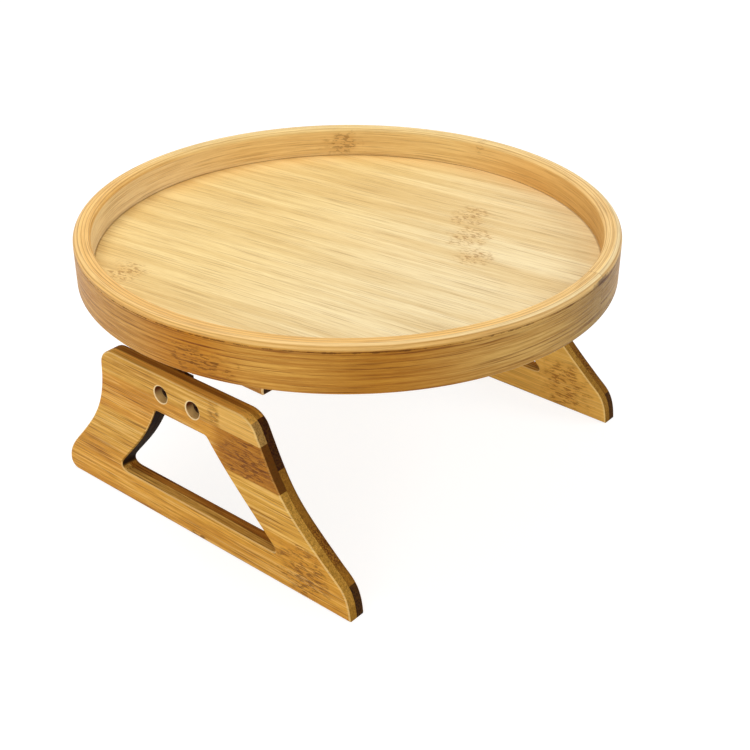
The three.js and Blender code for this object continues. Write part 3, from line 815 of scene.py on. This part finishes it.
# End grain shows as pores below the top, and as the dark grain of a stem joint near the toe
end_grain = noise(tree, at, 1400.0, 2.0, 0.6)
pores = spread(tree, end_grain, 0.42, 0.62, 0.0, 0.4)
edge = tinted(tree, edge, "#6a4208", pores, spread(tree, z, LEG_HEIGHT - 0.0018, LEG_HEIGHT - 0.0048))
toe_height = between(tree, z, 0.020, 0.0335, 0.003)
toe_depth = between(tree, through, 0.0004, 0.0046, 0.0004)
toe_joint = times(tree, toe_height, toe_depth, sums(tree, "LESS_THAN", y, -0.045))
edge = tinted(tree, edge, "#5a1e08", toe_joint, spread(tree, end_grain, 0.47, 0.53, 0.0, 0.75))
edge = tinted(tree, edge, "#5a3408", right_board, 0.3)
edge = tinted(tree, edge, "#6a4812", streaks, 0.3)
edge = tinted(tree, edge, "#3a200a", hairlines, 0.4)

# The window's back is painted nearly black, painted shade over darker sawn wood, more so in the left leg;
# the sill is painted pale, as light falling on it
window_height = between(tree, z, WINDOW_SILL + 0.0015, WINDOW_TOP + 0.0019, 0.001)
window_back = times(tree, between(tree, y, 0.012, 0.0545), window_height)
edge = tinted(tree, edge, "#140602", window_back, spread(tree, right_board, 0.0, 1.0, 0.97, 0.55))
sill_height = between(tree, z, WINDOW_SILL - 0.0015, WINDOW_SILL + 0.0013)
window_sill = times(tree, sill_height, between(tree, y, -0.055, 0.057))
sill_tone_and_painted_light = tinted(tree, colour("#d6963c"), "#ffd070", first_ply)
sill_tone_and_painted_light = grained(tree, sill_tone_and_painted_light, wood, (0.4, 0.8, 0.9, 0.4))
edge = mixed(tree, times(tree, window_sill, 0.9), edge, sill_tone_and_painted_light)

# The top edge has the tray's painted shadow: a dark streak and a dark middle. The far corner has painted
# shade, and the glue line is dark too
top = spread(tree, z, LEG_HEIGHT - 0.0048, LEG_HEIGHT - 0.0018)
edge = tinted(tree, edge, "#6a3c0c", between(tree, through, 0.0002, 0.0022, 0.0004), top, 0.5)
painted_tray_shadow = times(tree, spread(tree, y, -0.046, -0.012), spread(tree, through, -0.0012, 0.0004))
edge = tinted(tree, edge, "#643408", painted_tray_shadow, top, 0.5)
far_face = LEG_THICKNESS / 2
edge = tinted(tree, edge, "#3a1c06", spread(tree, through, far_face - 0.0018, far_face - 0.0006, 0.0, 0.5))
edge = tinted(tree, edge, "#3a220c", between(tree, through, -GLUE_GROOVE, GLUE_GROOVE, 0.00005), 0.45)
sawn = marked(tree, "sawn_edge")
base = mixed(tree, sawn, base, edge)

# Drilled holes have a painted highlight at the mouth and painted shade, dark brown, in their upper part
drilled = marked(tree, "drilled")
deep = sums(tree, "LESS_THAN", sums(tree, "ABSOLUTE", x), LEG_FACE - 0.0004)
upper_painted_shade = spread(tree, z, HOLE_HEIGHT - 0.0032, HOLE_HEIGHT + 0.0010)
hole_tone = mixed(tree, deep, colour("#ffe2ac"), tinted(tree, colour("#ffd68c"), "#6e2e12", upper_painted_shade))
base = mixed(tree, times(tree, drilled, 0.95), base, hole_tone)
tree.links.new(base, shader.inputs["Base Color"])
bare = sums(tree, "MAXIMUM", sawn, drilled)
lacquer(tree, shader, wood, sums(tree, "ADD", times(tree, bare, 0.4), 0.4), 0.0002)


def flat_board(name):
    """A bmesh of the board lying flat, with its window and eased edges."""
    drawing = bpy.data.curves.new(name + "_board", "CURVE")
    drawing.dimensions = "2D"
    drawing.fill_mode = "BOTH"
    drawing.extrude = LEG_THICKNESS / 2 - LEG_EASE
    drawing.bevel_depth = LEG_EASE
    drawing.bevel_resolution = 3
    drawing.offset = -LEG_EASE
    drawing.resolution_u = 20
    for path in (outline, window):
        spline = drawing.splines.new("BEZIER")
        spline.use_cyclic_u = True
        spline.bezier_points.add(len(path) - 2)
        for i, point in enumerate(spline.bezier_points):
            arriving = path[i][1] if i else path[-1][1]
            point.handle_left_type = point.handle_right_type = "FREE"
            point.co = path[i][2].to_3d()
            point.handle_left = arriving.to_3d()
            point.handle_right = path[i + 1][0].to_3d()
    template = bpy.data.objects.new(name + "_template", drawing)
    bpy.context.scene.collection.objects.link(template)
    bpy.context.view_layer.update()
    shown = template.evaluated_get(bpy.context.evaluated_depsgraph_get())
    mesh = bpy.data.meshes.new_from_object(shown)
    board = bmesh.new()
    board.from_mesh(mesh)
    bpy.data.objects.remove(template)
    bpy.data.meshes.remove(mesh)
    bmesh.ops.remove_doubles(board, verts=board.verts[:], dist=MERGE)
    return board


for side, sign in (("left", -1), ("right", 1)):
    bm = flat_board(side)
    middle = sign * LEG_MIDDLE
    upright = Matrix(((0, 0, 1, middle), (1, 0, 0, LEG_BACK), (0, 1, 0, 0), (0, 0, 0, 1)))
    bmesh.ops.transform(bm, matrix=upright, verts=bm.verts[:])
    bmesh.ops.recalc_face_normals(bm, faces=bm.faces[:])

    # A hairline groove where the two plies meet
    for shift in (-GLUE_GROOVE, 0, GLUE_GROOVE):
        bmesh.ops.bisect_plane(
            bm, geom=bm.verts[:] + bm.edges[:] + bm.faces[:], dist=1e-7,
            plane_co=(middle + shift, 0, 0), plane_no=(1, 0, 0),
        )
    bm.normal_update()
    glue_line = [v for v in bm.verts if abs(v.co.x - middle) < 2e-6]
    for v in glue_line:
        v.co -= v.normal * GLUE_GROOVE
    leg = loose_object(bm, side + "_leg_board")

    # Two counterbored holes, drilled from the outer face
    inwards = Matrix.Rotation(math.radians(-90 * sign), 4, "Y")
    cutters = []
    for hole in HOLES:
        drill = turned_shape([
            (0, -DRILL_OUT), (HOLE_MOUTH, -DRILL_OUT), (HOLE_MOUTH, 0), (COUNTERBORE, HOLE_CHAMFER),
            (COUNTERBORE, COUNTERBORE_DEPTH), (HOLE_BORE, COUNTERBORE_DEPTH), (HOLE_BORE, DRILL_THROUGH),
            (0, DRILL_THROUGH),
        ], HOLE_STEPS)
        bmesh.ops.transform(drill, matrix=inwards, verts=drill.verts[:])
        bmesh.ops.translate(drill, vec=(sign * LEG_FACE, hole, HOLE_HEIGHT), verts=drill.verts[:])
        cutters.append(loose_object(drill, "drill"))
    cut_out(leg, cutters)
    sawn_faces, eased_faces, drilled_faces = face_marks(leg.data, "sawn_edge", "highlighted_edge", "drilled")
    for polygon in leg.data.polygons:
        spot, slope = polygon.center, abs(polygon.normal.x)
        from_hole = min(math.hypot(spot.y - hole, spot.z - HOLE_HEIGHT) for hole in HOLES)
        in_groove = abs(abs(spot.x) - LEG_MIDDLE) < GLUE_GROOVE
        if from_hole < HOLE_MOUTH - 0.0001:
            drilled_faces[polygon.index].value = float(slope < 0.9)
        elif slope < SLANTED or in_groove:
            sawn_faces[polygon.index].value = 1.0
        # Eased faces on the +X side of the middle or facing down take part of the darker sawn tone as
        # painted shade
        elif slope < SQUARE and (spot.x > middle or polygon.normal.z < -SLANTED):
            sawn_faces[polygon.index].value = 0.45
        # The other eased faces carry the painted highlight
        elif slope < SQUARE:
            eased_faces[polygon.index].value = 1.0
    shaded(leg, 32)
    leg.data.materials.clear()
    leg.data.materials.append(leg_bamboo)
    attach(leg, side + "_leg")
    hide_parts(side + "_leg")

    # Pan-head screws sit deep in the counterbores and go through to the moving leaf
    for end, hole in zip(("front", "back"), HOLES):
        node = f"{side}_leg_screw_{end}"
        low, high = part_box(node)
        length = high.x - low.x
        bm = turned_shape(PAN_DOME + [
            (PAN_SHANK, PAN_HEAD), (PAN_SHANK, length - PAN_TIP), (PAN_SHANK - PAN_TIP, length), (0, length),
        ], SCREW_STEPS)
        head_at = sign * max(abs(low.x), abs(high.x))
        place = Matrix.Translation((head_at, hole, HOLE_HEIGHT)) @ inwards
        name = f"{side}_leg_pan_screw_{end}"
        finish_screw(bm, PAN_RECESS, PAN_RECESS_DEPTH, place, name, node, side + "_leg")


# Studio: a pale floor that shows as white but keeps the shadow, soft lamps overhead
# and on both sides, and a camera at the photograph's angle.
STUDIO_HALF = 6
STUDIO_DROP = 0.0001
AIM = Vector((0, 0, 0.08))
CAMERA_PLACE = (-0.41827, -0.36466, 0.36197)
CAMERA_AHEAD = (0.6636, 0.5527, -0.5043)
CAMERA_ROLL = math.radians(0.18)
CAMERA_LENS = 62.4


def seen_directly(tree):
    """1 for what the camera, a reflection or glass shows, 0 for light that falls on things."""
    ray = put(tree, "LightPath").outputs
    mirrored = sums(tree, "MAXIMUM", ray["Is Glossy Ray"], ray["Is Transmission Ray"])
    return sums(tree, "MAXIMUM", ray["Is Camera Ray"], mirrored)


floor_white, tree = bare_material("studio_floor")
matt = put(tree, "BsdfDiffuse", {"Color": (0.8, 0.8, 0.8, 1)})
pale = put(tree, "BsdfDiffuse", {"Color": (0.3, 0.3, 0.3, 1)})
glow = put(tree, "Emission", {"Color": (1, 1, 1, 1), "Strength": 0.84})
white = put(tree, "AddShader", {0: pale.outputs[0], 1: glow.outputs[0]})
either = put(tree, "MixShader", {0: seen_directly(tree), 1: matt.outputs[0], 2: white.outputs[0]})
tree.links.new(either.outputs[0], put(tree, "OutputMaterial").inputs[0])
bm = bmesh.new()
bmesh.ops.create_grid(bm, x_segments=1, y_segments=1, size=STUDIO_HALF)
bmesh.ops.translate(bm, vec=(0, 0, -STUDIO_DROP), verts=bm.verts[:])
studio_floor = loose_object(bm, "studio_floor")
studio_floor.data.materials.append(floor_white)

world = bpy.data.worlds.new("studio")
world.use_nodes = True
tree = world.node_tree
tree.nodes.clear()
room = put(tree, "Background", {"Color": (1, 1, 1, 1), "Strength": 0.45})
white = put(tree, "Background", {"Color": (1, 1, 1, 1), "Strength": 1.0})
either = put(tree, "MixShader", {0: seen_directly(tree), 1: room.outputs[0], 2: white.outputs[0]})
tree.links.new(either.outputs[0], put(tree, "OutputWorld").inputs[0])
bpy.context.scene.world = world

for name, place, size, power in (
    ("overhead_lamp", (-0.10, 0.40, 1.20), 0.8, 7.8),
    ("left_lamp", (-1.25, -0.40, 0.30), 0.8, 5.0),
    ("right_lamp", (0.75, -0.80, 0.90), 0.7, 4.4),
):
    lamp = bpy.data.lights.new(name, "AREA")
    lamp.shape = "DISK"
    lamp.size = size
    lamp.energy = power
    holder = bpy.data.objects.new(name, lamp)
    holder.location = place
    holder.rotation_euler = (AIM - Vector(place)).to_track_quat("-Z", "Y").to_euler()
    bpy.context.scene.collection.objects.link(holder)

camera = bpy.data.cameras.new("photo_camera")
camera.sensor_width = 36
camera.lens = CAMERA_LENS
camera.clip_start = 0.01
eye = bpy.data.objects.new("photo_camera", camera)
ahead = Vector(CAMERA_AHEAD).normalized()
sideways = ahead.cross(Vector((0, 0, 1))).normalized()
over = sideways.cross(ahead)
right_way = sideways * math.cos(CAMERA_ROLL) + over * math.sin(CAMERA_ROLL)
up_way = over * math.cos(CAMERA_ROLL) - sideways * math.sin(CAMERA_ROLL)
facing = Matrix((right_way, up_way, -ahead)).transposed().to_4x4()
eye.matrix_world = Matrix.Translation(CAMERA_PLACE) @ facing
bpy.context.scene.collection.objects.link(eye)
bpy.context.scene.camera = eye
bpy.context.scene.view_settings.view_transform = "Standard"
